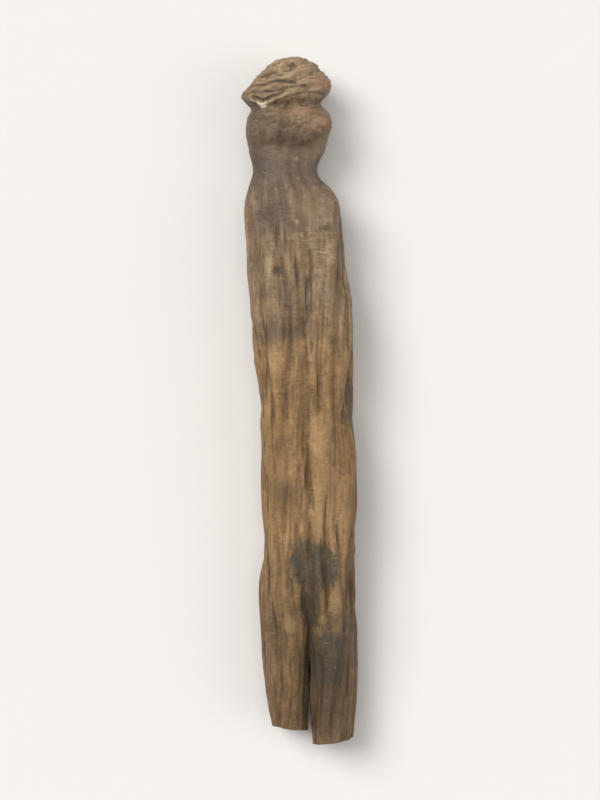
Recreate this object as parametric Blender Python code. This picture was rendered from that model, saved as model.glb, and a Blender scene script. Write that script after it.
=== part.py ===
"""A whole dried ginseng root: a knobbly head of two lobes, a neck, square shoulders, a long pressed
body and two trimmed legs, grown as one piece and lying on its flatter side.

Metres, +Z up. The length runs along Y with the head towards +Y, and the width along X. The origin
is on the surface that the root lies on, under the middle of its box.
"""

import bisect
import math
from collections import namedtuple

import bmesh
import bpy
from mathutils import Vector, noise

MM = 0.001

# Sizes of the whole root, in millimetres.
ROOT_LENGTH = 134.0
SHORT_LEG_END = 131.2
BODY_WIDTH = 18.8
BODY_THICKNESS = 16.6
PRESSED_FLAT = 0.3  # how far the low side is flattened where the root lies

# The mesh: points round each ring, and the gap between rings in each stretch of the length.
POINTS_AROUND = 72
FIRST_RING = 0.3
LOFT_END = ROOT_LENGTH + 5.0
RING_GAPS = ((10.5, 0.6), (20.0, 0.8), (34.0, 1.15), (98.0, 3.2), (LOFT_END, 2.4))

# Cross sections from the head's end to past the trimmed legs. Distance is along the root, side is
# to the right as seen from above, height is above the surface, and a squareness of 2 is an ellipse.
# Widths and thicknesses are shares of the body's.
Section = namedtuple("Section", "distance side height width thickness squareness")
SECTIONS = [
    Section(0.0, -1.7, 8.9, 0.10, 0.10, 2.0),
    Section(1.4, -2.0, 8.9, 0.44, 0.42, 2.0),
    Section(3.0, -2.2, 8.9, 0.62, 0.58, 2.1),
    Section(5.0, -2.5, 8.8, 0.77, 0.68, 2.2),
    Section(7.0, -2.9, 8.7, 0.86, 0.73, 2.3),
    Section(8.9, -3.1, 8.6, 0.83, 0.72, 2.3),
    Section(9.9, -3.2, 8.5, 0.69, 0.62, 2.2),
    Section(11.0, -3.2, 8.4, 0.77, 0.71, 2.3),
    Section(13.6, -2.9, 8.3, 0.86, 0.80, 2.2),
    Section(16.2, -2.9, 8.3, 0.85, 0.79, 2.2),
    Section(17.8, -3.0, 8.3, 0.81, 0.69, 2.2),
    Section(19.6, -3.2, 8.2, 0.75, 0.65, 2.3),
    Section(22.5, -3.4, 8.2, 0.66, 0.66, 2.3),
    Section(24.8, -3.0, 8.2, 0.78, 0.77, 2.4),
    Section(28.0, -2.1, 8.1, 0.96, 0.91, 2.6),
    Section(32.0, -1.7, 8.2, 1.02, 0.96, 2.6),
    Section(40.0, -1.2, 8.3, 1.01, 1.00, 2.7),
    Section(54.0, 0.0, 8.5, 1.00, 1.00, 2.8),
    Section(70.0, 0.6, 8.6, 0.96, 0.99, 2.8),
    Section(86.0, 0.9, 8.4, 0.95, 0.98, 2.7),
    Section(100.0, 1.1, 7.9, 0.97, 0.95, 2.7),
    Section(111.0, 1.5, 7.4, 0.97, 0.89, 2.6),
    Section(120.0, 1.7, 7.0, 0.94, 0.81, 2.5),
    Section(129.0, 1.8, 6.7, 0.88, 0.72, 2.4),
    Section(LOFT_END, 1.8, 6.5, 0.80, 0.66, 2.3),
]
SECTION_DISTANCES = [section.distance for section in SECTIONS]

# The head leans a little: it is longer on the right by this slope, fading out towards the neck.
HEAD_SLOPE = 0.07
SLOPE_FADES = (9.0, 21.0)

# Lumps and hollows: place along the root, angle round it (0 is right, 90 is up), reach along and
# round it, and height, negative for a hollow.
Lump = namedtuple("Lump", "distance angle along around height")
LUMPS = [
    Lump(7.0, 176.0, 2.2, 4.0, 0.7),  # tongue of the cap, to the left
    Lump(8.3, 136.0, 1.1, 3.6, 0.5),  # raised rim of the cap, beside the tongue
    Lump(5.8, 26.0, 2.6, 4.0, 0.6),  # round end of the cap, to the right
    Lump(13.6, 44.0, 2.5, 3.4, 1.9),  # knob on the second lobe
    Lump(13.4, 138.0, 2.2, 3.0, 0.8),  # low swelling beside the knob
    Lump(14.5, 250.0, 3.2, 4.0, 0.9),  # swelling on the under side
    Lump(29.5, 28.0, 5.0, 4.4, 0.7),  # right shoulder
    Lump(36.0, 128.0, 8.0, 4.0, 0.35),
    Lump(48.0, 96.0, 7.0, 3.0, -0.45),
    Lump(62.0, 52.0, 9.0, 4.0, 0.4),
    Lump(78.0, 118.0, 9.0, 4.0, 0.4),
    Lump(92.0, 72.0, 6.0, 3.5, -0.5),
    Lump(58.0, 182.0, 6.0, 4.5, 0.5),
    Lump(84.0, 2.0, 7.0, 4.5, 0.5),
    Lump(104.0, 175.0, 5.0, 4.0, 0.4),
]

# Creases between the lobes and down the shoulders. Each is straight on the unrolled surface, from
# one distance and angle to another.
Crease = namedtuple("Crease", "start start_angle end end_angle width depth")
CREASES = [
    Crease(4.6, 152.0, 3.9, 112.0, 0.8, 0.5),  # beside the stem scar on the cap
    Crease(10.6, 88.0, 17.0, 100.0, 1.1, 1.1),  # left of the knob
    Crease(17.8, 130.0, 18.4, 40.0, 1.2, 1.0),  # under the knob
    Crease(21.0, 14.0, 31.0, 58.0, 1.2, 0.8),  # between the neck and the right shoulder
    Crease(23.5, 150.0, 34.0, 132.0, 1.2, 0.5),
    Crease(38.0, 70.0, 52.0, 78.0, 1.2, 0.5),
    Crease(66.0, 98.0, 84.0, 90.0, 1.2, 0.5),
]

# Round scars with a rim and a hollow middle: where stems stood on the head, and where side
# rootlets were trimmed from the body.
Scar = namedtuple("Scar", "distance angle radius rim hollow")
SCARS = [
    Scar(2.7, 94.0, 1.6, 0.4, 0.8),
    Scar(15.6, 318.0, 2.1, 0.4, 0.9),
    Scar(14.8, 196.0, 1.9, 0.4, 0.8),
    Scar(46.5, 10.0, 1.7, 0.6, 0.25),
    Scar(71.0, 176.0, 1.8, 0.65, 0.25),
    Scar(96.0, 348.0, 1.7, 0.6, 0.25),
    Scar(83.0, 262.0, 1.8, 0.5, 0.25),
]

# The folds of the cap run round it and rise to the right. They are deepest up and to the left.
FOLDS_DEEPEST = 120.0
FOLDS_END = 9.6
FOLD_WIDTH = 2.4
FOLD_HEIGHT = 0.4
FOLD_SLOPE = 0.34

# The head is gnarled all over: small uneven swellings, which fade out on the neck.
GNARL_SIZE = 2.6
GNARL_HEIGHT = 0.75
GNARL_FADES = (15.0, 24.0)

# Furrows and swells that run along the body.
FURROW_DEPTH = 0.8
FURROW_NARROWNESS = 0.26
SWELL_HEIGHT = 1.1
GRAIN_AROUND = 2.3
GRAIN_ALONG = 34.0
GRAIN_TURN = 0.15  # how far the grain winds to and fro round the root, in radians
GRAIN_TURN_ALONG = 27.0
FINER_GRAIN = 1.7

# The legs: a crease starts where the body begins to part, and the legs come free at the crotch.
CREASE_START = 97.0
CREASE_FULL = 123.0
CREASE_OFFSET = -0.6  # from the section's middle, where the crease starts
CREASE_LEAN = 0.5  # how far the crease has drifted to the right by the tips
CREASE_WANDER = 0.35
CREASE_BEND = 6.5
LEG_OVERLAP = 0.3  # how far the two legs' outlines run into each other
CROTCH = 118.0
CROTCH_GAP = 0.1
TIP_GAP = 1.2
GAP_STEPS = 10
TRIM_SLANT = 2.4

SKIN_COLOUR = (0.235, 0.145, 0.085, 1.0)
SKIN_ROUGHNESS = 0.62


def smooth_step(low, high, value):
    """0 below low, 1 above high, and an S curve between."""
    share = min(1.0, max(0.0, (value - low) / (high - low)))
    return share * share * (3.0 - 2.0 * share)


def slope_at(index, field):
    """The slope of one field of SECTIONS there, which makes the curve through them smooth."""
    before = SECTIONS[max(index - 1, 0)]
    after = SECTIONS[min(index + 1, len(SECTIONS) - 1)]
    return (after[field] - before[field]) / (after.distance - before.distance)


def section_at(distance):
    """The cross section at any distance, on a smooth curve through SECTIONS."""
    index = bisect.bisect_right(SECTION_DISTANCES, distance) - 1
    index = min(max(index, 0), len(SECTIONS) - 2)
    low, high = SECTIONS[index], SECTIONS[index + 1]
    span = high.distance - low.distance
    t = (distance - low.distance) / span
    fields = [distance]
    for field in range(1, len(low)):
        fields.append(
            low[field] * (1 + 2 * t) * (1 - t) ** 2
            + high[field] * t * t * (3 - 2 * t)
            + slope_at(index, field) * span * t * (1 - t) ** 2
            - slope_at(index + 1, field) * span * t * t * (1 - t)
        )
    return Section(*fields)


def pressed_oval(angle, half_width, half_height, squareness):
    """Distance from the middle to the outline of a rounded, squarish section."""
    across = abs(math.cos(angle) / half_width) ** squareness
    up = abs(math.sin(angle) / half_height) ** squareness
    return (across + up) ** (-1.0 / squareness)


def leg_outline(angle, middle, half_width, half_height):
    """Distance from the section's middle to the far side of one leg's own oval."""
    across, up = math.cos(angle) / half_width, math.sin(angle) / half_height
    a = across * across + up * up
    b = across * middle / half_width
    c = (middle / half_width) ** 2 - 1.0
    inside = b * b - a * c
    return (b + math.sqrt(inside)) / a if inside > 0.0 else 0.0


def crease_side(distance):
    """How far the crease between the legs is to the right of the section's middle."""
    lean = CREASE_LEAN * smooth_step(CREASE_START, ROOT_LENGTH, distance)
    return CREASE_OFFSET + lean + CREASE_WANDER * math.sin((distance - CREASE_START) / CREASE_BEND)


def two_legs(distance, angle, half_width, half_height):
    """The outline of two legs pressed side by side, meeting at the crease."""
    right_half = (half_width - crease_side(distance)) / 2
    left_half = (half_width + crease_side(distance)) / 2
    right = leg_outline(angle, half_width - right_half, right_half + LEG_OVERLAP, half_height)
    left = leg_outline(angle, left_half - half_width, left_half + LEG_OVERLAP, half_height)
    return max(right, left)


def angle_between(angle, degrees):
    """The turn from a place round the root, in degrees, to this angle, in radians."""
    turn = angle - math.radians(degrees)
    return math.atan2(math.sin(turn), math.cos(turn))


def lumps_at(distance, angle, radius):
    """Height of the named lumps and hollows here."""
    height = 0.0
    for lump in LUMPS:
        along = (distance - lump.distance) / lump.along
        around = angle_between(angle, lump.angle) * radius / lump.around
        height += lump.height * math.exp(-along * along - around * around)
    return height


def scars_at(distance, angle, radius):
    """Height of the scars' rims, and depth of their hollows."""
    height = 0.0
    for scar in SCARS:
        along = distance - scar.distance
        around = angle_between(angle, scar.angle) * radius
        reach = math.hypot(along, around) / scar.radius
        height += scar.rim * math.exp(-((reach - 1.0) / 0.45) ** 2)
        height -= scar.hollow * math.exp(-((reach / 0.6) ** 2))
    return height


def creases_at(distance, angle, radius):
    """Depth of the creases here, by how far the nearest point of each one is."""
    depth = 0.0
    for crease in CREASES:
        turn = math.radians(crease.end_angle - crease.start_angle) * radius
        run = Vector((crease.end - crease.start, turn))
        around = angle_between(angle, crease.start_angle) * radius
        here = Vector((distance - crease.start, around))
        share = min(1.0, max(0.0, here.dot(run) / run.length_squared))
        apart = (here - run * share).length
        depth += crease.depth * math.exp(-((apart / crease.width) ** 2))
    return depth


def cap_folds_at(distance, angle, radius):
    """The soft folds across the cap. They fade out at its edge and away from their deepest place."""
    place = Vector((math.cos(angle) * 1.3, math.sin(angle) * 1.3, distance / 6.0))
    phase = (distance + FOLD_SLOPE * radius * math.cos(angle)) / FOLD_WIDTH
    phase += 0.9 * noise.noise(place)
    fade = smooth_step(1.5, 3.5, distance) * (1.0 - smooth_step(FOLDS_END - 2.0, FOLDS_END, distance))
    fade *= math.cos(angle_between(angle, FOLDS_DEEPEST) / 2) ** 2
    return FOLD_HEIGHT * fade * math.cos(2 * math.pi * phase)


def gnarls_at(distance, angle, radius):
    """The uneven swellings of the head. They keep clear of its very end."""
    across = Vector((math.cos(angle), math.sin(angle), 0.0)) * radius
    place = (across + Vector((0.0, 0.0, distance))) / GNARL_SIZE
    fade = smooth_step(1.0, 4.0, distance) * (1.0 - smooth_step(*GNARL_FADES, distance))
    return GNARL_HEIGHT * fade * noise.noise(place)


def grain_turn(distance):
    """How far the grain, and the mesh's columns with it, have wound round the root here."""
    return GRAIN_TURN * noise.noise(Vector((distance / GRAIN_TURN_ALONG, 3.7, 0.0)))


def bark_at(distance, column):
    """Long swells with furrows between them, which follow the mesh's columns."""
    across = Vector((math.cos(column), math.sin(column), 0.0)) * GRAIN_AROUND
    place = across + Vector((0.0, 0.0, distance / GRAIN_ALONG))
    swell = noise.noise(place)
    finer = noise.noise(place * FINER_GRAIN + Vector((7.3, 1.9, 4.1)))
    furrow = math.exp(-((swell / FURROW_NARROWNESS) ** 2))
    side_furrow = math.exp(-((finer / FURROW_NARROWNESS) ** 2))
    height = SWELL_HEIGHT * abs(swell) + 0.35 * SWELL_HEIGHT * finer
    return height - FURROW_DEPTH * furrow - 0.4 * FURROW_DEPTH * side_furrow


def axis_point(distance):
    """The middle of the cross section there, in the root's own millimetres."""
    section = section_at(distance)
    return Vector((section.side, ROOT_LENGTH / 2 - distance, section.height - PRESSED_FLAT))


def surface_point(distance, column):
    """The root's surface at a distance from the head's end, on a column of the mesh."""
    section = section_at(distance)
    angle = column + grain_turn(distance)
    half_width = section.width * BODY_WIDTH / 2
    half_height = section.thickness * BODY_THICKNESS / 2
    parted = smooth_step(CREASE_START, CREASE_FULL, distance)
    whole = pressed_oval(angle, half_width, half_height, section.squareness)
    radius = whole
    if parted > 0.0:
        radius += parted * (two_legs(distance, angle, half_width, half_height) - whole)
    on_body = smooth_step(1.0, 6.0, distance)
    head_share = 0.25 + 0.75 * smooth_step(18.0, 30.0, distance)
    relief = bark_at(distance, column) * head_share * on_body
    relief += cap_folds_at(distance, angle, whole)
    relief += lumps_at(distance, angle, whole)
    relief += gnarls_at(distance, angle, whole)
    relief += scars_at(distance, angle, whole)
    relief -= creases_at(distance, angle, whole)
    radius = max(0.12 * whole, radius + relief)
    across = radius * math.cos(angle)
    lean = HEAD_SLOPE * (1.0 - smooth_step(*SLOPE_FADES, distance)) * smooth_step(0.0, 6.0, distance)
    return axis_point(distance) + Vector((across, lean * across, radius * math.sin(angle)))


def ring_distances():
    """Where the mesh's rings lie: close together on the head and the legs, wider on the body."""
    distances = []
    distance = FIRST_RING
    for end, gap in RING_GAPS:
        while distance < end:
            distances.append(distance)
            distance += gap
    return distances


def make_skin():
    """The brown, wrinkled skin of a steamed and dried root."""
    skin = bpy.data.materials.new("ginseng_skin")
    skin.diffuse_color = SKIN_COLOUR
    skin.use_nodes = True
    shader = skin.node_tree.nodes["Principled BSDF"]
    shader.inputs["Base Color"].default_value = SKIN_COLOUR
    shader.inputs["Roughness"].default_value = SKIN_ROUGHNESS
    shader.inputs["Metallic"].default_value = 0.0
    return skin


def make_root():
    """A sphere's rings of points, set out along the root and moved out to its surface."""
    distances = ring_distances()
    last_ring = len(distances)
    shape = bmesh.new()
    bmesh.ops.create_uvsphere(
        shape, u_segments=POINTS_AROUND, v_segments=last_ring + 1, radius=1.0
    )
    for vert in shape.verts:
        polar = math.acos(max(-1.0, min(1.0, vert.co.z)))
        ring = round(polar / math.pi * (last_ring + 1))
        column = math.atan2(vert.co.y, vert.co.x)
        if 0 < ring <= last_ring:
            vert.co = surface_point(distances[ring - 1], column) * MM
        else:
            vert.co = axis_point(0.0 if ring == 0 else distances[-1]) * MM
    bmesh.ops.recalc_face_normals(shape, faces=shape.faces)
    mesh = bpy.data.meshes.new("ginseng_root")
    shape.to_mesh(mesh)
    shape.free()
    mesh.materials.append(make_skin())
    return bpy.data.objects.new("ginseng_root", mesh)


def make_block(name, size, location):
    """A box for cutting with, its size and place in millimetres."""
    shape = bmesh.new()
    bmesh.ops.create_cube(shape, size=1.0)
    bmesh.ops.scale(shape, vec=Vector(size) * MM, verts=shape.verts)
    mesh = bpy.data.meshes.new(name)
    shape.to_mesh(mesh)
    shape.free()
    block = bpy.data.objects.new(name, mesh)
    block.location = Vector(location) * MM
    return block


def make_leg_gap():
    """A thin upright wedge between the legs. It follows the crease and widens towards the tips."""
    length = LOFT_END + 2.0 - CROTCH
    shape = bmesh.new()
    bmesh.ops.create_grid(shape, x_segments=1, y_segments=GAP_STEPS, size=0.5)
    raised = bmesh.ops.extrude_face_region(shape, geom=shape.faces[:], use_keep_orig=True)
    for vert in shape.verts:
        vert.co.z = -BODY_THICKNESS * MM
    for item in raised["geom"]:
        if isinstance(item, bmesh.types.BMVert):
            item.co.z = 2 * BODY_THICKNESS * MM
    for vert in shape.verts:
        share = 0.5 - vert.co.y
        distance = CROTCH + share * length
        half_gap = (CROTCH_GAP + (TIP_GAP - CROTCH_GAP) * share) / 2
        side = axis_point(distance).x + crease_side(distance)
        vert.co.x = (side + math.copysign(half_gap, vert.co.x)) * MM
        vert.co.y = (ROOT_LENGTH / 2 - distance) * MM
    bmesh.ops.recalc_face_normals(shape, faces=shape.faces)
    mesh = bpy.data.meshes.new("leg_gap")
    shape.to_mesh(mesh)
    shape.free()
    return bpy.data.objects.new("leg_gap", mesh)


def make_trim(name, cut_at, side):
    """A knife's cut across one leg: a block whose near face is the cut, slanting back outwards."""
    wide, deep = BODY_WIDTH, 20.0
    crease = axis_point(cut_at).x + crease_side(cut_at)
    middle = (crease + side * wide / 2, ROOT_LENGTH / 2 - cut_at - deep / 2, 0.0)
    trim = make_block(name, (wide, deep, 4 * BODY_THICKNESS), middle)
    for vert in trim.data.vertices:
        if vert.co.y > 0.0 and vert.co.x * side > 0.0:
            vert.co.y += TRIM_SLANT * MM
    return trim


def make_bench():
    """The surface that presses the low side flat, so that the root lies still."""
    deep = 10.0
    return make_block("bench", (4 * BODY_WIDTH, 2 * ROOT_LENGTH, deep), (0.0, 0.0, -deep / 2))


def cut_with(root, cutters):
    """Each cutter takes its shape out of the root."""
    for cutter in cutters:
        cutter.hide_render = True
        cutter.display_type = "WIRE"
        modifier = root.modifiers.new(f"less_{cutter.name}", "BOOLEAN")
        modifier.operation = "DIFFERENCE"
        modifier.object = cutter


def put_origin_under_middle(root, handle):
    """Moves the handle, with all it carries, so that the origin is under the middle of the box."""
    bpy.context.view_layer.update()
    graph = bpy.context.evaluated_depsgraph_get()
    corners = [Vector(corner) for corner in root.evaluated_get(graph).bound_box]
    low = Vector(min(corner[axis] for corner in corners) for axis in range(3))
    high = Vector(max(corner[axis] for corner in corners) for axis in range(3))
    middle = (low + high) / 2
    handle.location = (-middle.x, -middle.y, -low.z)


def make_collection(name):
    collection = bpy.data.collections.new(name)
    bpy.context.scene.collection.children.link(collection)
    return collection


def clear_scene():
    for old in list(bpy.data.objects):
        bpy.data.objects.remove(old, do_unlink=True)


def main():
    clear_scene()
    root = make_root()
    root.data.shade_smooth()
    cutters = [
        make_leg_gap(),
        make_trim("short_leg_trim", SHORT_LEG_END, -1),
        make_trim("long_leg_trim", ROOT_LENGTH, 1),
        make_bench(),
    ]
    handle = bpy.data.objects.new("handle", None)
    parts = make_collection("ginseng_root")
    helpers = make_collection("cutters")
    parts.objects.link(handle)
    parts.objects.link(root)
    for cutter in cutters:
        helpers.objects.link(cutter)
        cutter.parent = handle
    root.parent = handle
    cut_with(root, cutters)
    put_origin_under_middle(root, handle)


main()
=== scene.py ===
"""The looks of one dried ginseng root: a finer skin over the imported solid, its procedural material,
a pale floor, soft studio light and a camera that looks straight down on it.

Metres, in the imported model's frame: +Y towards the head, +Z up, the origin on the floor under the
middle of the root. Relief, places and spacings are worked out in millimetres.
"""

import math
from collections import namedtuple

import bmesh
import bpy
import numpy as np
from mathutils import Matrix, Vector, noise


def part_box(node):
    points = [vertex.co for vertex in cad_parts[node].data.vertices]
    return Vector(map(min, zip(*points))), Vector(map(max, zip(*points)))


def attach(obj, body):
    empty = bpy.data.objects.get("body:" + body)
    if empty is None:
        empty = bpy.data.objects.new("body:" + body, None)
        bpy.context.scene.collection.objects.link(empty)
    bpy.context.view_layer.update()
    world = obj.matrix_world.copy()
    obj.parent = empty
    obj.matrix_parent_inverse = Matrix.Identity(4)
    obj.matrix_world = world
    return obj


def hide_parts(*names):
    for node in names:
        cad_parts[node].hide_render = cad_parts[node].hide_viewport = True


MM = 0.001
NODE = "ginseng_root"

# The finer skin: how often each face of the solid is divided in four.
SUBDIVISIONS = 2
SAME_POINT = 1e-7
FLATTEST_PAIR = math.radians(60.0)
SQUAREST_PAIR = math.radians(80.0)
PAIRS_FOLLOW_GRID = 2.0

# The knife's cuts: faces that look towards the tips, within this reach of the longer leg's end.
CUT_REACH = 6.0
CUT_FACING = -0.85
CUT_EDGE_CREASE = 0.8
CUT_RINGS = (0.09, 0.68)  # how far in from the edge, as shares of the way to the middle
FLESH_SINKS = 0.12
RELIEF_ON_CUTS = 0.15

# Fine furrows and strands along the body, from where it begins.
BODY_STARTS = (26.0, 42.0)
FURROW_SPACING = 1.15
FURROW_LENGTH = 12.0
FURROW_RISES = (0.10, 0.45)
FURROW_DEPTH = 0.25
STRAND_SPACING = 0.7
STRAND_LENGTH = 6.5
STRAND_HEIGHT = 0.13
WANDER = 0.8
WANDER_SIZE = (7.0, 24.0, 7.0)
FURROW_PATCHES = (5.0, 14.0, 5.0)
FURROWS_DEEPEN = (-0.2, 0.35)
LEAST_FURROW = 0.3

# Wider grooves where the flanks have shrivelled, between the flatter faces above and below.
FLANK_LEVEL = (0.30, 0.75)
FLANK_SPACING = 2.1
FLANK_LENGTH = 20.0
FLANK_RISES = (0.0, 0.45)
FLANK_DEPTH = 0.50

# Soft wrinkles across the neck and the shoulders, and faint ones further down.
WRINKLES_START = (17.0, 22.0)
WRINKLES_FADE = (30.0, 48.0)
LEAST_WRINKLE = 0.35
WRINKLE_SIZE = (8.0, 1.4, 8.0)
WRINKLE_SWAY = (4.0, 9.0, 4.0)
WRINKLE_PATCHES = (4.0, 5.0, 4.0)
WRINKLES_SHOW = (-0.3, 0.3)
WRINKLE_HEIGHT = 0.17

# The head's own fine folds, which rise to the right, and its small knobs.
HEAD_STARTS = (-0.3, 0.5)
FOLDS_FADE = (8.5, 12.5)
KNOBS_FADE = (15.0, 21.0)
LEAST_FOLD = 0.3
FOLD_SLOPE = 0.34
FOLD_SIZE = (6.0, 0.85, 6.0)
FOLD_HEIGHT = 0.30
KNOB_SIZE = 1.5
KNOB_HEIGHT = 0.18
PIMPLE_SIZE = 0.7
PIMPLE_HEIGHT = 0.10

# Creases that branch over the cap's end, where it faces away from the body.
END_FACING = (0.35, 0.85)
CREASE_SIZE = 3.4
CREASE_BEND = 0.35
CREASE_BEND_SIZE = 1.8
CREASE_WIDTH = 0.10
CREASE_DEPTH = 0.30

# The neck and the shoulders are calmer: how far along, and how much of the solid's relief goes.
QUIET_STARTS = (13.0, 17.0)
QUIET_ENDS = (29.0, 42.0)
QUIET_ROUNDS = 44
QUIET_SOFTENING = 0.6

# Marks on the skin: distance from the head's end, angle round the root (0 right, 90 up), and reach
# along and round it.
Mark = namedtuple("Mark", "distance angle along around")
WORN_CORNERS = [Mark(7.4, 176.0, 2.6, 5.0)]  # the cap's left corner, which is rounded off
STEM_SCARS = [Mark(2.4, 94.0, 1.0, 1.0), Mark(15.6, 318.0, 1.6, 1.6), Mark(14.8, 196.0, 1.5, 1.5)]
ROOTLET_SCARS = [
    Mark(46.5, 10.0, 1.4, 1.3),
    Mark(71.0, 176.0, 1.5, 1.3),
    Mark(96.0, 348.0, 1.4, 1.2),
    Mark(83.0, 262.0, 1.5, 1.5),
]
ROOTLET_RIM = 0.2
RIM_AT = 0.8
RIM_WIDTH = 0.35
RIM_UNEVEN = 0.3
RIM_UNEVEN_SIZE = 0.9
LEAST_SCAR = 1e-9
BLOTCHES = [
    Mark(99.2, 84.0, 5.7, 5.9),
    Mark(106.4, 88.0, 4.8, 2.5),
    Mark(117.0, 62.0, 6.4, 4.4),
]
SMUDGES = [
    Mark(33.9, 48.0, 0.9, 1.2),
    Mark(42.2, 112.0, 1.2, 1.0),
    Mark(67.0, 20.0, 8.0, 3.0),
    Mark(80.0, 232.0, 10.0, 4.5),
    Mark(52.0, 300.0, 7.0, 3.0),
    Mark(37.0, 205.0, 6.0, 3.5),
    Mark(101.0, 182.0, 7.0, 2.4),
]
# Painted shade: darker patches where shade falls, such as on the lobe's and the neck's left sides, in a
# hollow, on the lower right flank and on the right leg.
PAINTED_SHADE_PATCHES = [
    Mark(12.6, 148.0, 3.0, 4.4),
    Mark(15.9, 92.0, 1.4, 2.8),
    Mark(21.0, 150.0, 5.5, 3.6),
    Mark(31.0, 122.0, 4.6, 4.0),
    Mark(54.0, 113.0, 1.9, 4.6),
    Mark(84.5, 118.0, 2.6, 2.6),
    Mark(98.0, 14.0, 14.0, 4.0),
    Mark(124.0, 60.0, 7.0, 5.0),
]
# Paler patches: partly the skin's own paler tone, partly painted highlight, as on the knob and the
# lobe's right edge.
PALE_AND_HIGHLIGHT_PATCHES = [
    Mark(4.2, 96.0, 4.4, 8.5),
    Mark(11.2, 66.0, 0.9, 2.6),
    Mark(17.4, 27.0, 2.2, 1.7),
    Mark(19.4, 110.0, 1.4, 1.8),
    Mark(30.5, 62.0, 2.6, 2.2),
    Mark(88.0, 66.0, 6.0, 4.0),
]
BLUSHES = [Mark(11.4, 62.0, 1.2, 2.8), Mark(13.4, 44.0, 1.6, 2.0), Mark(5.8, 30.0, 2.2, 2.8)]
PALE_PATCHES = [
    Mark(32.9, 85.0, 0.8, 0.6),
    Mark(35.3, 80.0, 0.8, 0.6),
    Mark(36.2, 38.0, 1.2, 1.6),
    Mark(41.3, 120.0, 3.6, 1.1),
    Mark(55.8, 90.0, 0.8, 0.5),
    Mark(60.0, 127.5, 5.0, 2.4),
    Mark(74.0, 76.0, 7.0, 2.4),
    Mark(99.0, 42.0, 9.0, 1.3),
    Mark(106.0, 57.0, 3.4, 1.5),
    Mark(109.0, 70.0, 1.4, 1.2),
    Mark(110.2, 118.0, 2.2, 2.0),
]
CROSS_PATCHES = [Mark(39.0, 50.0, 2.0, 2.1), Mark(36.0, 70.0, 1.6, 1.2)]
MARK_FIELDS = {
    "stem_scar": STEM_SCARS,
    "rootlet_scar": ROOTLET_SCARS,
    "blotch": BLOTCHES,
    "smudge": SMUDGES,
    "painted_shade_patch": PAINTED_SHADE_PATCHES,
    "pale_and_highlight_patch": PALE_AND_HIGHLIGHT_PATCHES,
    "blush": BLUSHES,
    "pale_patch": PALE_PATCHES,
    "cross_patch": CROSS_PATCHES,
}

# Lines over the cap, each through places of (distance from the head's end, angle round the root):
# the curled lips of its folds, with a painted highlight along them, and the grooves between them,
# with painted shade in them.
Stroke = namedtuple("Stroke", "width strength places")
LIPS = [
    Stroke(0.52, 1.3, [(9.8, 138.0), (10.1, 134.5), (10.1, 130.0)]),
    Stroke(0.32, 0.85, [(9.1, 146.0), (9.45, 142.0), (9.8, 138.0)]),
    Stroke(0.40, 1.0, [(10.1, 130.0), (9.7, 125.0)]),
    Stroke(0.32, 0.75, [(9.7, 125.0), (9.5, 118.0), (9.05, 109.0)]),
    Stroke(0.30, 0.5, [(9.05, 109.0), (8.7, 97.0), (7.9, 84.0)]),
    Stroke(0.30, 0.4, [(6.0, 149.0), (5.2, 124.0), (4.9, 103.0)]),
    Stroke(0.30, 0.35, [(6.8, 154.0), (6.9, 130.0), (6.3, 112.0), (6.2, 82.0)]),
    Stroke(0.30, 0.45, [(3.5, 121.0), (2.2, 118.0), (1.4, 108.0), (1.4, 90.0)]),
]
GROOVES = [
    Stroke(0.32, 1.0, [(8.6, 140.0), (9.2, 130.5), (8.9, 119.0), (8.3, 103.0), (7.5, 92.0)]),
    Stroke(0.28, 0.8, [(6.2, 160.0), (6.1, 139.0), (5.7, 114.0), (5.9, 82.0)]),
    Stroke(0.28, 0.8, [(7.4, 150.0), (7.7, 131.0), (7.4, 108.0), (6.7, 87.0), (6.6, 60.0)]),
    Stroke(0.28, 0.7, [(4.6, 156.0), (3.9, 132.0), (4.4, 112.0)]),
    Stroke(0.26, 0.6, [(8.2, 70.0), (7.7, 48.0), (8.0, 22.0)]),
]
LIP_HEIGHT = 0.28
GROOVE_DEPTH = 0.26

# Where the zones of colour lie along the root.
# Painted shade round the neck's waist: where it is darkest, and how far it reaches.
NECK_MIDDLE = 22.0
NECK_REACH = 7.6
HEAD_FADES = (14.0, 24.0)
LOWER_STARTS = (46.0, 64.0)
# Painted shadow over the tips: where it begins and where it is full.
TIP_SHADOW_STARTS = (92.0, 112.0)

# The hollows that painted shade darkens and the ridges that a painted highlight lightens: how far the
# surface is smoothed to find them.
FINE_ROUNDS = 8
BROAD_ROUNDS = 90

# Colours of the skin and the flesh, as linear RGBA.
# Painted shade in the hollows and grooves; also the dark edges of scars and of the rind.
SHADE_SCAR_AND_RIND_BROWN = (0.045, 0.026, 0.014, 1.0)
DARK_BROWN = (0.094, 0.058, 0.031, 1.0)
MID_BROWN = (0.174, 0.110, 0.057, 1.0)
WARM_BROWN = (0.218, 0.140, 0.074, 1.0)
TAN = (0.276, 0.182, 0.099, 1.0)
PALE_TAN = (0.420, 0.300, 0.178, 1.0)
# Painted highlight along the cap's curled lips.
LIP_HIGHLIGHT_CREAM = (0.720, 0.590, 0.410, 1.0)
BLUSH = (0.270, 0.135, 0.082, 1.0)
BLOTCH_BROWN = (0.052, 0.040, 0.021, 1.0)
SMUDGE_BROWN = (0.078, 0.054, 0.033, 1.0)
# Painted shade round the neck.
NECK_SHADE_BROWN = (0.108, 0.073, 0.050, 1.0)
# Painted shade, for the patches where shade falls.
PAINTED_SHADE_BROWN = (0.072, 0.050, 0.034, 1.0)
WARM_TINT = (1.06, 0.93, 0.68, 1.0)
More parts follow.
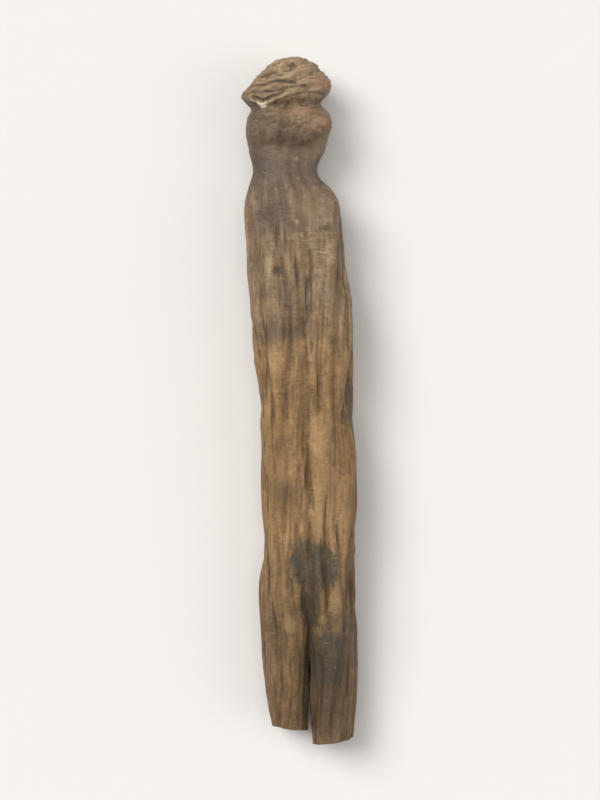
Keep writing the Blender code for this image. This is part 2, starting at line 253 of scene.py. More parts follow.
# Painted shadow over the tips.
TIP_SHADOW_TINT = (0.66, 0.67, 0.70, 1.0)
FLESH_MIDDLE = (0.300, 0.175, 0.080, 1.0)
FLESH = (0.430, 0.275, 0.135, 1.0)
FLESH_RING = (0.190, 0.092, 0.036, 1.0)

# Colour ramps as (place, colour), the two outer stops first.
SKIN_STOPS = [(0.24, DARK_BROWN), (0.80, TAN), (0.42, MID_BROWN), (0.60, WARM_BROWN)]
FLESH_STOPS = [
    (0.30, FLESH_MIDDLE),
    (1.0, SHADE_SCAR_AND_RIND_BROWN),
    (0.50, FLESH),
    (0.68, FLESH_RING),
    (0.76, FLESH),
    (0.93, DARK_BROWN),
]

# Noise patterns of the skin: the cells' size in millimetres, how fine, how rough and how twisted.
Pattern = namedtuple("Pattern", "size detail roughness distortion", defaults=(0.0,))
STREAKS = Pattern((0.7, 3.8, 0.7), 6.0, 0.66, 0.4)
KNOBBLY = Pattern((1.3, 0.8, 1.3), 6.0, 0.62, 0.4)
MOTTLE = Pattern((4.0, 6.0, 4.0), 7.0, 0.62)
# Breaks up the painted highlight on the ridges.
RIDGE_HIGHLIGHT_NOISE = Pattern((1.2, 3.0, 1.2), 6.0, 0.7)
RAGGED = Pattern((1.7, 3.2, 1.7), 8.0, 0.70, 0.5)
ACROSS = Pattern((2.4, 0.46, 2.4), 3.0, 0.5)
BLOTCH_STREAKS = Pattern((1.0, 4.0, 1.0), 5.0, 0.6)
LIP_HIGHLIGHT_BREAKS = Pattern((0.9, 0.9, 0.9), 4.0, 0.6)
FLECK_RAGGED = Pattern((0.5, 0.3, 0.5), 3.0, 0.6)
SCAR_RAGGED = Pattern((0.6, 0.6, 0.6), 5.0, 0.7)
FLESH_UNEVEN = Pattern((1.1, 1.1, 1.1), 6.0, 0.65)
FIBRES = Pattern((0.30, 3.5, 0.30), 5.0, 0.65, 0.3)
SMALL_KNOBS = Pattern((0.8, 0.5, 0.8), 5.0, 0.65, 0.3)
FINE_GRAIN = Pattern((0.22, 0.30, 0.22), 4.0, 0.65)
CRACKS = Pattern((1.8, 0.45, 1.8), 5.0, 0.7, 0.4)
WAX = Pattern((2.5, 6.0, 2.5), 4.0, 0.6)

# Curves of the skin: from to_low where a value is low, smoothly to to_high where it is high.
Curve = namedtuple("Curve", "low high to_low to_high", defaults=(0.0, 1.0))
MOTTLE_SHADE = Curve(0.30, 0.70, 0.74, 1.24)
ON_RIDGES = Curve(0.0, -0.03)
# How much of the painted highlight shows on the ridges.
RIDGE_HIGHLIGHT_SHARE = Curve(0.40, 0.66, 0.03, 0.38)
CALMED = Curve(0.0, 1.0, 1.0, 0.35)
FINE_HOLLOW_SHADE = Curve(0.0, 0.06, 0.0, 0.42)
BROAD_HOLLOW_SHADE = Curve(0.05, 0.65, 0.0, 0.6)
PALE_EDGE = Curve(1.05, 1.6, 0.0, 0.5)
BLOTCH_EDGE = Curve(0.92, 1.32)
BLOTCH_DARKNESS = Curve(0.38, 0.62, 0.97, 0.74)
SMUDGE_EDGE = Curve(0.95, 1.45, 0.0, 0.78)
CROSS_STRIPES = Curve(0.44, 0.60, 0.1, 0.8)
LIP_HIGHLIGHT_EDGE = Curve(0.25, 1.15, 0.0, 0.9)
FLECK_EDGE = Curve(0.62, 0.34)
SCAR_RING = Curve(0.2, 0.55, 0.0, 0.45)
SCAR_MIDDLE = Curve(0.6, 1.1, 0.0, 0.5)
STEM_SCAR_MIDDLE = Curve(0.45, 0.95, 0.0, 0.75)
CRACK_EDGE = Curve(0.36, 0.48, 0.0, 0.35)
SKIN_ROUGHNESS = Curve(0.3, 0.7, 0.46, 0.78)

# How strongly each of these shows in the skin's colour.
PALE_AND_HIGHLIGHT_SHOWS = 0.50
NECK_SHADE_SHOWS = 0.76
PAINTED_SHADE_SHOWS = 0.70
BLUSH_SHOWS = 0.46
GROOVE_SHADE_SHOWS = 0.70
FLECK_SHOWS = 0.18

# How far noise moves the edges of marks, of the painted highlight on the lips, of flecks, scars and the
# flesh's rings.
MARK_SHIFT = 1.3
LIP_HIGHLIGHT_SHIFT = 0.6
FLECK_SHIFT = 0.5
SCAR_SHIFT = 1.3
FLESH_SHIFT = 0.2
FLECK_CELLS = (1.7, 0.8, 1.7)
CELLS_WITHOUT_FLECKS = 0.92

# The bump of fibres, grain, cracks and flecks, and how the skin shines.
GRAIN_BUMP = 0.4
FLECK_BUMP = 0.25
BUMP_STRENGTH = 0.8
BUMP_HEIGHT = 0.17
SKIN_IOR = 1.45

# The camera, the floor and the lights.
LENS = 100.0
SENSOR_HEIGHT = 36.0
CLIP_START = 0.01
ROOT_SHARE_OF_FRAME = 0.86
FLOOR_SIZE = 6.0
FLOOR_COLOUR = (0.70, 0.68, 0.65, 1.0)
FLOOR_ROUGHNESS = 0.9
Lamp = namedtuple("Lamp", "name place width strength")  # shines from its place; width in degrees
LAMPS = [
    Lamp("key_light", (-0.32, 0.24, 0.52), 34.0, 2.55),
    Lamp("fill_light", (0.50, -0.10, 0.45), 42.0, 0.64),
    Lamp("top_light", (0.02, 0.10, 0.85), 40.0, 0.90),
]
SKY_COLOUR = (1.0, 0.985, 0.96, 1.0)
WALL_TO_SKY = Curve(0.06, 0.32, 0.80, 0.24)  # how bright it is, by how steeply one looks up


def smooth_step(limits, values):
    """0 below the first limit, 1 above the second, and an S curve between."""
    low, high = limits
    share = np.clip((values - low) / (high - low), 0.0, 1.0)
    return share * share * (3.0 - 2.0 * share)


def noise_at(places):
    """Smooth noise, from -1 to 1, at each of the places."""
    return np.array([noise.noise(place) for place in places.tolist()])


def is_cut(face, tip_y):
    near_tip = face.calc_center_median().y < tip_y + CUT_REACH * MM
    return near_tip and face.normal.y < CUT_FACING


def close_leg(shape, face, rim):
    """Gives a cut leg's end two rings of faces, first the rind's, round a flat middle."""
    middle = face.calc_center_median_weighted()
    inwards = -face.normal * FLESH_SINKS * MM
    outline = face.verts[:]
    shape.faces.remove(face)
    outer = outline
    for vert in outline:
        vert[rim] = 1.0
    for share in CUT_RINGS:
        inner = [shape.verts.new(vert.co.lerp(middle, share) + inwards) for vert in outline]
        for index, vert in enumerate(inner):
            vert[rim] = 1.0 - share
            shape.faces.new((outer[index - 1], outer[index], vert, inner[index - 1]))
        outer = inner
    shape.faces.new(outer)


def face_the_cuts(shape):
    """Makes each cut leg's end one flat face with a firm edge, and then its rings."""
    crease = shape.edges.layers.float.new("crease_edge")
    rim = shape.verts.layers.float.new("rim")
    shape.normal_update()
    tip_y = min(vert.co.y for vert in shape.verts)
    bmesh.ops.dissolve_faces(shape, faces=[face for face in shape.faces if is_cut(face, tip_y)])
    shape.normal_update()
    for face in [face for face in shape.faces if is_cut(face, tip_y)]:
        for edge in face.edges:
            edge[crease] = CUT_EDGE_CREASE
        close_leg(shape, face, rim)


def four_sided(node):
    """A copy of the solid's mesh, with its triangles joined in pairs to the grid that they came from."""
    shape = bmesh.new()
    shape.from_mesh(node.data)
    bmesh.ops.remove_doubles(shape, verts=shape.verts, dist=SAME_POINT)
    face_the_cuts(shape)
    triangles = [face for face in shape.faces if len(face.verts) == 3]
    bmesh.ops.join_triangles(
        shape,
        faces=triangles,
        angle_face_threshold=FLATTEST_PAIR,
        angle_shape_threshold=SQUAREST_PAIR,
        topology_influence=PAIRS_FOLLOW_GRID,
    )
    return shape


def subdivided(shape, name):
    """The smooth, finer mesh of the shape."""
    coarse = bpy.data.meshes.new(name + "_coarse")
    shape.to_mesh(coarse)
    shape.free()
    helper = bpy.data.objects.new(name + "_coarse", coarse)
    bpy.context.scene.collection.objects.link(helper)
    divide = helper.modifiers.new("divide", "SUBSURF")
    divide.levels = SUBDIVISIONS
    divide.render_levels = SUBDIVISIONS
    graph = bpy.context.evaluated_depsgraph_get()
    fine = bpy.data.meshes.new_from_object(helper.evaluated_get(graph))
    fine.name = name
    bpy.data.objects.remove(helper, do_unlink=True)
    bpy.data.meshes.remove(coarse)
    return fine


def read_vectors(items, key, count=3):
    values = np.empty(len(items) * count)
    items.foreach_get(key, values)
    return values.reshape(-1, count)


def settle(points, edges, rounds):
    """The points after each has moved to its neighbours' middle that many times."""
    first, second = edges[:, 0], edges[:, 1]
    count = np.bincount(first, minlength=len(points)) + np.bincount(second, minlength=len(points))
    for _ in range(rounds):
        total = np.empty_like(points)
        for axis in range(3):
            total[:, axis] = np.bincount(first, points[second, axis], len(points))
            total[:, axis] += np.bincount(second, points[first, axis], len(points))
        points = 0.5 * points + 0.5 * total / count[:, None]
    return points


def hollow_depth(points, normals, edges, rounds):
    """How far each point lies below the settled surface, in millimetres: above 0 in a hollow."""
    return ((settle(points, edges, rounds) - points) * normals).sum(axis=1) / MM


def furrows(distance, spots):
    """Narrow hollows and fine strands that run along the body and wander a little."""
    wander = WANDER * noise_at(spots / WANDER_SIZE)[:, None]
    furrow = noise_at(spots / (FURROW_SPACING, FURROW_LENGTH, FURROW_SPACING) + wander * (1, 0, 1))
    depth = FURROW_DEPTH * smooth_step(FURROW_RISES, furrow)
    depth *= LEAST_FURROW + smooth_step(FURROWS_DEEPEN, noise_at(spots / FURROW_PATCHES))
    strand = noise_at(spots / (STRAND_SPACING, STRAND_LENGTH, STRAND_SPACING) + wander * (1, 0, -1))
    return smooth_step(BODY_STARTS, distance) * (STRAND_HEIGHT * strand - depth)


def flank_grooves(distance, spots, level):
    """Wider grooves along the flanks, where the surface is far from level."""
    wander = WANDER * noise_at(spots / WANDER_SIZE)[:, None] * (1, 0, 1)
    groove = noise_at(spots / (FLANK_SPACING, FLANK_LENGTH, FLANK_SPACING) - wander)
    flank = smooth_step(BODY_STARTS, distance) * (1.0 - smooth_step(FLANK_LEVEL, np.abs(level)))
    return FLANK_DEPTH * flank * smooth_step(FLANK_RISES, groove)


def wrinkles(distance, spots):
    """Soft, broken wrinkles across the neck and the shoulders, and faint ones further down."""
    sway = noise_at(spots / WRINKLE_SWAY)[:, None] * (0, 1, 0)
    wrinkle = noise_at(spots / WRINKLE_SIZE + sway)
    broken = smooth_step(WRINKLES_SHOW, noise_at(spots / WRINKLE_PATCHES))
    fade = 1.0 - (1.0 - LEAST_WRINKLE) * smooth_step(WRINKLES_FADE, distance)
    return WRINKLE_HEIGHT * smooth_step(WRINKLES_START, distance) * fade * broken * wrinkle


def head_folds(distance, spots, pole):
    """Fine folds round the cap's end and over the head, which rise to the right, and small knobs."""
    out = np.hypot(spots[:, 0] - pole[0], spots[:, 2] - pole[1])
    rise = (spots[:, 0] * FOLD_SLOPE + out)[:, None] * (0, -1, 0)
    fold = noise_at((spots + rise) / FOLD_SIZE)
    fold *= 1.0 - (1.0 - LEAST_FOLD) * smooth_step(FOLDS_FADE, distance)
    knobs = KNOB_HEIGHT * noise_at(spots / KNOB_SIZE) + PIMPLE_HEIGHT * noise_at(spots / PIMPLE_SIZE)
    fade = smooth_step(HEAD_STARTS, distance) * (1.0 - smooth_step(KNOBS_FADE, distance))
    return fade * (FOLD_HEIGHT * fold + knobs)


def end_creases(spots, facing):
    """Creases that branch over the cap's end."""
    bend = CREASE_BEND * noise_at(spots / CREASE_BEND_SIZE)[:, None]
    crease = np.exp(-((noise_at(spots / CREASE_SIZE + bend) / CREASE_WIDTH) ** 2))
    return CREASE_DEPTH * smooth_step(END_FACING, facing) * crease


def quiet_share(distance):
    """1 over the neck and the shoulders, 0 beyond them."""
    return smooth_step(QUIET_STARTS, distance) * (1.0 - smooth_step(QUIET_ENDS, distance))


def middles(points, head_y):
    """The middle of the root at each millimetre of its length, as a list of (x, z) in millimetres."""
    slots = ((head_y - points[:, 1]) / MM).astype(int)
    return [
        points[np.abs(slots - slot) <= 1][:, (0, 2)].mean(axis=0) / MM for slot in range(slots.max() + 1)
    ]


def mark_share(points, head_y, centres, mark):
    """1 at a mark's middle, falling to 0 a little beyond its reach."""
    distance = (head_y - points[:, 1]) / MM
    centre = centres[int(mark.distance)]
    across, up = points[:, 0] / MM - centre[0], points[:, 2] / MM - centre[1]
    turn = np.arctan2(up, across) - math.radians(mark.angle)
    turn = np.arctan2(np.sin(turn), np.cos(turn))
    around = turn * np.hypot(across, up)
    return np.exp(-(((distance - mark.distance) / mark.along) ** 2) - (around / mark.around) ** 2)


def mark_field(points, head_y, marks):
    """The strongest of the marks at each point."""
    centres = middles(points, head_y)
    return np.max([mark_share(points, head_y, centres, mark) for mark in marks], axis=0)


def stroke_share(points, head_y, centres, stroke):
    """The stroke's strength on it, falling to 0 beside it."""
    distance = (head_y - points[:, 1]) / MM
    share = np.zeros(len(points))
    for (start, start_angle), (end, end_angle) in zip(stroke.places, stroke.places[1:]):
        centre = centres[int(start)]
        across, up = points[:, 0] / MM - centre[0], points[:, 2] / MM - centre[1]
        radius = np.hypot(across, up)
        turn = np.arctan2(up, across) - math.radians(start_angle)
        around = np.arctan2(np.sin(turn), np.cos(turn)) * radius
        run_along, run_around = end - start, math.radians(end_angle - start_angle) * radius
        part = (distance - start) * run_along + around * run_around
        part = np.clip(part / (run_along**2 + run_around**2), 0.0, 1.0)
        apart = np.hypot(distance - start - part * run_along, around - part * run_around)
        share = np.maximum(share, stroke.strength * np.exp(-((apart / stroke.width) ** 2)))
    return share


def stroke_field(points, head_y, strokes):
    """The strongest of the strokes at each point."""
    centres = middles(points, head_y)
    return np.max([stroke_share(points, head_y, centres, stroke) for stroke in strokes], axis=0)


def scar_relief(points, head_y, heights):
    """The heights with each rootlet scar's place smoothed, and a low uneven rim round it."""
    scars = mark_field(points, head_y, ROOTLET_SCARS)
    reach = np.sqrt(-np.log(np.maximum(scars, LEAST_SCAR)))
    reach += RIM_UNEVEN * noise_at(points / MM / RIM_UNEVEN_SIZE)
    rims = ROOTLET_RIM * np.exp(-(((reach - RIM_AT) / RIM_WIDTH) ** 2))
    return heights * (1.0 - scars) + rims


def add_relief(mesh, head_y, skin_share):
    """Softens the calm places, then moves each point along its normal, never below the floor."""
    points = read_vectors(mesh.vertices, "co")
    normals = read_vectors(mesh.vertex_normals, "vector")
    edges = read_vectors(mesh.edges, "vertices", 2).astype(int)
    distance = (head_y - points[:, 1]) / MM
    calm = QUIET_SOFTENING * quiet_share(distance)
    calm = np.maximum(calm, mark_field(points, head_y, WORN_CORNERS))[:, None]
    points += calm * (settle(points, edges, QUIET_ROUNDS) - points)
    spots = points / MM
    heights = furrows(distance, spots) + wrinkles(distance, spots)
    heights += head_folds(distance, spots, middles(points, head_y)[1])
    heights -= end_creases(spots, normals[:, 1]) + flank_grooves(distance, spots, normals[:, 2])
    heights += LIP_HEIGHT * stroke_field(points, head_y, LIPS)
    heights -= GROOVE_DEPTH * stroke_field(points, head_y, GROOVES)
    heights = scar_relief(points, head_y, heights)
    points += normals * (heights * skin_share * MM)[:, None]
    points[:, 2] = np.maximum(points[:, 2], 0.0)
    mesh.vertices.foreach_set("co", points.ravel())
    mesh.update()
    return points


def store(mesh, name, values, domain="POINT"):
    attribute = mesh.attributes.new(name, "FLOAT", domain)
    attribute.data.foreach_set("value", np.ascontiguousarray(values, dtype=np.float32))


def store_fields(mesh, points, head_y):
    """What the material needs to know about each point."""
    edges = read_vectors(mesh.edges, "vertices", 2).astype(int)
    normals = read_vectors(mesh.vertex_normals, "vector")
    store(mesh, "fine_hollow", hollow_depth(points, normals, edges, FINE_ROUNDS))
    store(mesh, "broad_hollow", hollow_depth(points, normals, edges, BROAD_ROUNDS))
    for name, marks in MARK_FIELDS.items():
        store(mesh, name, mark_field(points, head_y, marks))
    store(mesh, "lip_highlight", stroke_field(points, head_y, LIPS))
    store(mesh, "groove", stroke_field(points, head_y, GROOVES))
    distance = (head_y - points[:, 1]) / MM
    store(mesh, "neck_shade_share", np.exp(-(((distance - NECK_MIDDLE) / NECK_REACH) ** 2)))
    store(mesh, "quiet_share", quiet_share(distance))
    store(mesh, "tip_shadow_share", smooth_step(TIP_SHADOW_STARTS, distance))
    store(mesh, "head_share", 1.0 - smooth_step(HEAD_FADES, distance))
    store(mesh, "lower_share", smooth_step(LOWER_STARTS, distance))


def find_cuts(mesh):
    """The numbers of the faces on the legs' cut ends."""
    normals = read_vectors(mesh.polygon_normals, "vector")
    centres = read_vectors(mesh.polygons, "center")
    near_tip = centres[:, 1] < centres[:, 1].min() + CUT_REACH * MM
    return np.flatnonzero(near_tip & (normals[:, 1] < CUT_FACING))


def make_root(node):
    """The root as it is seen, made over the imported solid."""
    mesh = subdivided(four_sided(node), "root_skin_mesh")
    head_y = read_vectors(mesh.vertices, "co")[:, 1].max()
    cut_faces = find_cuts(mesh)
    skin_share = np.ones(len(mesh.vertices))
    cut_corners = np.zeros(len(mesh.loops))
    for face in cut_faces:
        skin_share[list(mesh.polygons[face].vertices)] = RELIEF_ON_CUTS
        cut_corners[list(mesh.polygons[face].loop_indices)] = 1.0
    points = add_relief(mesh, head_y, skin_share)
    store_fields(mesh, points, head_y)
    store(mesh, "cut", cut_corners, "CORNER")
    mesh.materials.clear()
    mesh.materials.append(make_skin())
    mesh.shade_smooth()
    root = bpy.data.objects.new("dried_root", mesh)
    bpy.context.scene.collection.objects.link(root)
    return root


class Graph:
    """Adds shader nodes to a material or a world. A value may be a number, a tuple or a socket."""

    def __init__(self, owner):
        self.nodes = owner.node_tree.nodes
        self.links = owner.node_tree.links

    def put(self, socket, value):
        if isinstance(value, bpy.types.NodeSocket):
            self.links.new(value, socket)
        else:
            socket.default_value = value

    def add(self, kind, inputs, **settings):
        node = self.nodes.new(kind)
        for name, value in settings.items():
            setattr(node, name, value)
        for name, value in inputs.items():
            self.put(node.inputs[name], value)
        return node

    def attribute(self, name):
        return self.add("ShaderNodeAttribute", {}, attribute_name=name).outputs["Fac"]

    def place(self, x, y, z):
        """The point on the root, in units of x, y and z millimetres."""
        spot = self.add("ShaderNodeTexCoord", {}).outputs["Object"]
        scale = (1 / (x * MM), 1 / (y * MM), 1 / (z * MM))
        return self.add("ShaderNodeVectorMath", {0: spot, 1: scale}, operation="MULTIPLY").outputs[0]

    def noise(self, pattern):
        inputs = {
            "Vector": self.place(*pattern.size),
            "Scale": 1.0,
            "Detail": pattern.detail,
            "Roughness": pattern.roughness,
            "Distortion": pattern.distortion,
        }
        return self.add("ShaderNodeTexNoise", inputs).outputs["Fac"]

    def math(self, operation, first, second=0.0):
        return self.add("ShaderNodeMath", {0: first, 1: second}, operation=operation).outputs[0]

    def times(self, first, second):
        return self.math("MULTIPLY", first, second)

    def shifted(self, value, noise, most):
        """The value, moved up or down by a share of the noise."""
        return self.math("ADD", value, self.times(self.math("SUBTRACT", noise, 0.5), most))

    def on_curve(self, value, curve):
        """What the curve gives for the value."""
        inputs = {
            "Value": value,
            "From Min": curve.low,
            "From Max": curve.high,
            "To Min": curve.to_low,
            "To Max": curve.to_high,
        }
        node = self.add("ShaderNodeMapRange", inputs, interpolation_type="SMOOTHSTEP")
        return node.outputs["Result"]

    def blend(self, share, first, second):
        """The first number where the share is 0, the second where it is 1."""
        return self.add("ShaderNodeMix", {0: share, 2: first, 3: second}).outputs[0]

    def mix(self, share, first, second, blend="MIX"):
        """The first colour where the share is 0, the second where it is 1."""
        node = self.add("ShaderNodeMix", {0: share, 6: first, 7: second}, data_type="RGBA")
        node.blend_type = blend
        return node.outputs[2]

    def ramp(self, value, stops):
        """A colour ramp from (place, colour) stops, the two outer ones first."""
        node = self.add("ShaderNodeValToRGB", {"Fac": value})
        elements = node.color_ramp.elements
        for index, (position, colour) in enumerate(stops):
            element = elements[index] if index < 2 else elements.new(position)
            element.position = position
            element.color = colour
        return node.outputs["Color"]


def grain(graph):
    """Streaks along the body, which give way to a knobbly mottle on the head."""
    return graph.blend(graph.attribute("head_share"), graph.noise(STREAKS), graph.noise(KNOBBLY))


def skin_colour(graph):
    """Brown skin: streaks, mottling, pale patches with painted highlights, painted shade patches,
    painted shade round the neck, a painted highlight on the ridges and painted shade in the hollows.
    """
    colour = graph.ramp(grain(graph), SKIN_STOPS)
    shade = graph.on_curve(graph.noise(MOTTLE), MOTTLE_SHADE)
    bright = graph.add("ShaderNodeCombineColor", {0: shade, 1: shade, 2: shade}).outputs[0]
    colour = graph.mix(1.0, colour, bright, "MULTIPLY")
    # Paler patches, partly the skin's tone and partly painted highlight.
    colour = graph.mix(graph.times(graph.attribute("pale_and_highlight_patch"), PALE_AND_HIGHLIGHT_SHOWS), colour, PALE_TAN)
    # Painted shade round the neck's waist.
    colour = graph.mix(graph.times(graph.attribute("neck_shade_share"), NECK_SHADE_SHOWS), colour, NECK_SHADE_BROWN)
    # Painted highlight on the ridges, broken up by noise.
    ridge = graph.on_curve(graph.attribute("fine_hollow"), ON_RIDGES)
    ridge = graph.times(ridge, graph.on_curve(graph.noise(RIDGE_HIGHLIGHT_NOISE), RIDGE_HIGHLIGHT_SHARE))
    colour = graph.mix(ridge, colour, PALE_TAN)
    # Painted shade: darker patches where shade falls.
    colour = graph.mix(graph.times(graph.attribute("painted_shade_patch"), PAINTED_SHADE_SHOWS), colour, PAINTED_SHADE_BROWN)
    # Painted shade in the fine and broad hollows, less over the neck and the shoulders.
    calm = graph.on_curve(graph.attribute("quiet_share"), CALMED)
    fine = graph.on_curve(graph.attribute("fine_hollow"), FINE_HOLLOW_SHADE)
    colour = graph.mix(graph.times(fine, calm), colour, SHADE_SCAR_AND_RIND_BROWN)
    broad = graph.on_curve(graph.attribute("broad_hollow"), BROAD_HOLLOW_SHADE)
    return graph.mix(graph.times(broad, calm), colour, SHADE_SCAR_AND_RIND_BROWN)


def ragged_share(graph, name, edge):
    """How much a soft mark shows, with an edge that ragged streaks break up."""
    reach = graph.math("ADD", graph.attribute(name), graph.times(graph.noise(RAGGED), MARK_SHIFT))
    return graph.on_curve(reach, edge)


def with_marks(graph, colour):
    """A reddish blush, pale patches, warmer skin lower down, painted shadow over the tips, blotches and
    smudges.
    """
    colour = graph.mix(graph.times(graph.attribute("blush"), BLUSH_SHOWS), colour, BLUSH)
    colour = graph.mix(ragged_share(graph, "pale_patch", PALE_EDGE), colour, PALE_TAN)
    stripes = graph.on_curve(graph.noise(ACROSS), CROSS_STRIPES)
    colour = graph.mix(graph.times(graph.attribute("cross_patch"), stripes), colour, PALE_TAN)
    warm = graph.mix(1.0, colour, WARM_TINT, "MULTIPLY")
    colour = graph.mix(graph.attribute("lower_share"), colour, warm)
    # Painted shadow darkening the tips.
    dark = graph.mix(1.0, colour, TIP_SHADOW_TINT, "MULTIPLY")
    colour = graph.mix(graph.attribute("tip_shadow_share"), colour, dark)
    darkness = graph.on_curve(graph.noise(BLOTCH_STREAKS), BLOTCH_DARKNESS)
    blotch = graph.times(ragged_share(graph, "blotch", BLOTCH_EDGE), darkness)
    colour = graph.mix(blotch, colour, BLOTCH_BROWN)
    return graph.mix(ragged_share(graph, "smudge", SMUDGE_EDGE), colour, SMUDGE_BROWN)


def with_strokes(graph, colour):
    """A painted highlight along the cap's curled lips and painted shade in the grooves between its
    folds.
    """
    # Painted shade in the grooves between the cap's folds.
    colour = graph.mix(graph.times(graph.attribute("groove"), GROOVE_SHADE_SHOWS), colour, SHADE_SCAR_AND_RIND_BROWN)
    # Painted highlight along the lips, broken up by noise.
    lip_highlight = graph.shifted(graph.attribute("lip_highlight"), graph.noise(LIP_HIGHLIGHT_BREAKS), LIP_HIGHLIGHT_SHIFT)
    return graph.mix(graph.on_curve(lip_highlight, LIP_HIGHLIGHT_EDGE), colour, LIP_HIGHLIGHT_CREAM)


def flecks(graph):
    """Where small pale flecks lie here and there across the grain."""
    inputs = {"Vector": graph.place(*FLECK_CELLS), "Scale": 1.0, "Randomness": 1.0}
    cells = graph.add("ShaderNodeTexVoronoi", inputs)
    chance = graph.add("ShaderNodeSeparateColor", {0: cells.outputs["Color"]}).outputs[0]
    few = graph.math("GREATER_THAN", chance, CELLS_WITHOUT_FLECKS)
    ragged = graph.times(graph.noise(FLECK_RAGGED), FLECK_SHIFT)
    edge = graph.math("ADD", cells.outputs["Distance"], ragged)
    return graph.times(graph.on_curve(edge, FLECK_EDGE), few)


def with_scars(graph, colour):
    """Rootlet scars with a tan middle and a dark edge, and stem scars with a dark middle."""
    ragged = graph.noise(SCAR_RAGGED)
    rootlet = graph.shifted(graph.attribute("rootlet_scar"), ragged, SCAR_SHIFT)
    colour = graph.mix(graph.on_curve(rootlet, SCAR_RING), colour, SHADE_SCAR_AND_RIND_BROWN)
    colour = graph.mix(graph.on_curve(rootlet, SCAR_MIDDLE), colour, FLESH)
    stem = graph.shifted(graph.attribute("stem_scar"), ragged, SCAR_SHIFT)
    return graph.mix(graph.on_curve(stem, STEM_SCAR_MIDDLE), colour, SHADE_SCAR_AND_RIND_BROWN)


def flesh_colour(graph):
    """A cut leg: a dark rind, tan flesh with a darker ring, and a darker middle."""
    rim = graph.shifted(graph.attribute("rim"), graph.noise(FLESH_UNEVEN), FLESH_SHIFT)
    return graph.ramp(rim, FLESH_STOPS)


def skin_bump(graph, fleck):
    """Fibres, fine grain, cracks and flecks too small for the mesh."""
    fibres = graph.blend(graph.attribute("head_share"), graph.noise(FIBRES), graph.noise(SMALL_KNOBS))
    height = graph.math("ADD", fibres, graph.times(graph.noise(FINE_GRAIN), GRAIN_BUMP))
    height = graph.math("ADD", height, graph.on_curve(graph.noise(CRACKS), CRACK_EDGE))
    height = graph.math("ADD", height, graph.times(fleck, FLECK_BUMP))
    inputs = {"Height": height, "Strength": BUMP_STRENGTH, "Distance": BUMP_HEIGHT * MM}
    return graph.add("ShaderNodeBump", inputs).outputs["Normal"]


def make_skin():
    """The dry, faintly waxy skin of a steamed and dried root."""
    skin = bpy.data.materials.new("root_skin")
    skin.use_nodes = True
    graph = Graph(skin)
    shader = graph.nodes["Principled BSDF"]
    fleck = flecks(graph)
    colour = with_strokes(graph, with_marks(graph, skin_colour(graph)))
    colour = graph.mix(graph.times(fleck, FLECK_SHOWS), colour, PALE_TAN)
    colour = with_scars(graph, colour)
    colour = graph.mix(graph.attribute("cut"), colour, flesh_colour(graph))
    graph.put(shader.inputs["Base Color"], colour)
    graph.put(shader.inputs["Roughness"], graph.on_curve(graph.noise(WAX), SKIN_ROUGHNESS))
    graph.put(shader.inputs["Normal"], skin_bump(graph, fleck))
    shader.inputs["Metallic"].default_value = 0.0
    shader.inputs["IOR"].default_value = SKIN_IOR
    return skin


def make_floor():
    """A plain pale floor, well beyond the camera's view."""
    shape = bmesh.new()
    bmesh.ops.create_grid(shape, x_segments=1, y_segments=1, size=FLOOR_SIZE / 2)
    mesh = bpy.data.meshes.new("floor")
    shape.to_mesh(mesh)
    shape.free()
    paint = bpy.data.materials.new("floor_paint")
    paint.use_nodes = True
    shader = paint.node_tree.nodes["Principled BSDF"]
    shader.inputs["Base Color"].default_value = FLOOR_COLOUR
    shader.inputs["Roughness"].default_value = FLOOR_ROUGHNESS
    mesh.materials.append(paint)
    floor = bpy.data.objects.new("floor", mesh)
    bpy.context.scene.collection.objects.link(floor)
    return floor


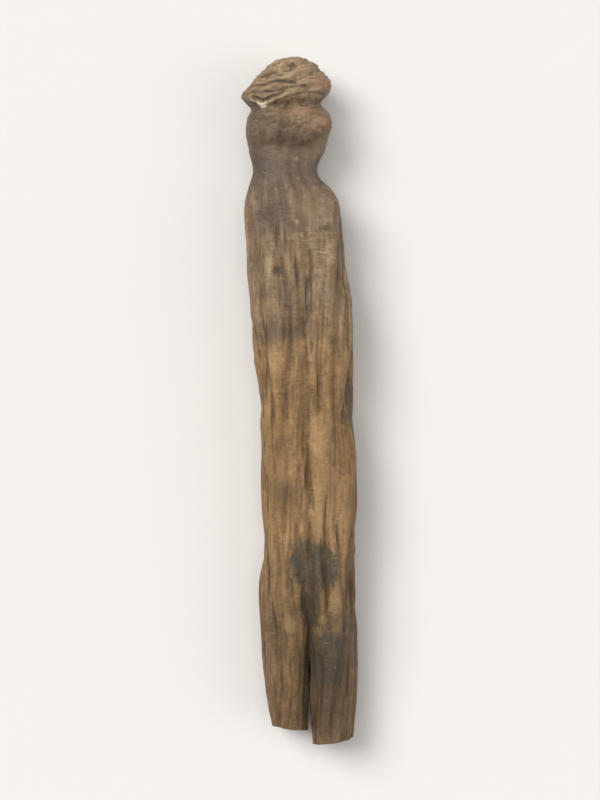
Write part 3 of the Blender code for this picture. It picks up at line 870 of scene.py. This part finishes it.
def light_the_scene(target):
    """Wide, far lamps, which light the whole floor evenly."""
    for lamp in LAMPS:
        data = bpy.data.lights.new(lamp.name, "SUN")
        data.angle = math.radians(lamp.width)
        data.energy = lamp.strength
        light = bpy.data.objects.new(lamp.name, data)
        light.location = lamp.place
        way = Vector(target) - light.location
        light.rotation_euler = way.to_track_quat("-Z", "Y").to_euler()
        bpy.context.scene.collection.objects.link(light)


def make_sky():
    """A pale wall all round, as in a photo studio, and a dimmer sky above it."""
    world = bpy.data.worlds.new("soft_sky")
    world.use_nodes = True
    graph = Graph(world)
    way = graph.add("ShaderNodeTexCoord", {}).outputs["Generated"]
    up = graph.add("ShaderNodeSeparateXYZ", {0: way}).outputs["Z"]
    sky = graph.nodes["Background"]
    graph.put(sky.inputs["Color"], SKY_COLOUR)
    graph.put(sky.inputs["Strength"], graph.on_curve(up, WALL_TO_SKY))
    bpy.context.scene.world = world


def look_down_on(target, length):
    """A camera straight above, with the head at the top of the frame."""
    lens = bpy.data.cameras.new("camera")
    lens.sensor_fit = "VERTICAL"
    lens.sensor_height = SENSOR_HEIGHT
    lens.lens = LENS
    lens.clip_start = CLIP_START
    camera = bpy.data.objects.new("camera", lens)
    away = length / ROOT_SHARE_OF_FRAME * LENS / SENSOR_HEIGHT
    camera.location = Vector(target) + Vector((0.0, 0.0, away))
    bpy.context.scene.collection.objects.link(camera)
    bpy.context.scene.camera = camera


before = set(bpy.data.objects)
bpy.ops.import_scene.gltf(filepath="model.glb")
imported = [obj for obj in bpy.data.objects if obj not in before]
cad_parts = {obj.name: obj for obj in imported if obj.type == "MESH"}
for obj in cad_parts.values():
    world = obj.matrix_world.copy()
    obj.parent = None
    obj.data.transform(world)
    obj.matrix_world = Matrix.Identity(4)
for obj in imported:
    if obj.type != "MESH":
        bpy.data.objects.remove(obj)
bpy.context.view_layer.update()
root = make_root(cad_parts[NODE])
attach(root, "root")
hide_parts(NODE)
make_floor()
low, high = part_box(NODE)
middle = tuple((a + b) / 2 for a, b in zip(low, high))
light_the_scene(middle)
make_sky()
bpy.context.scene.view_settings.view_transform = "Standard"
look_down_on(middle, high[1] - low[1])
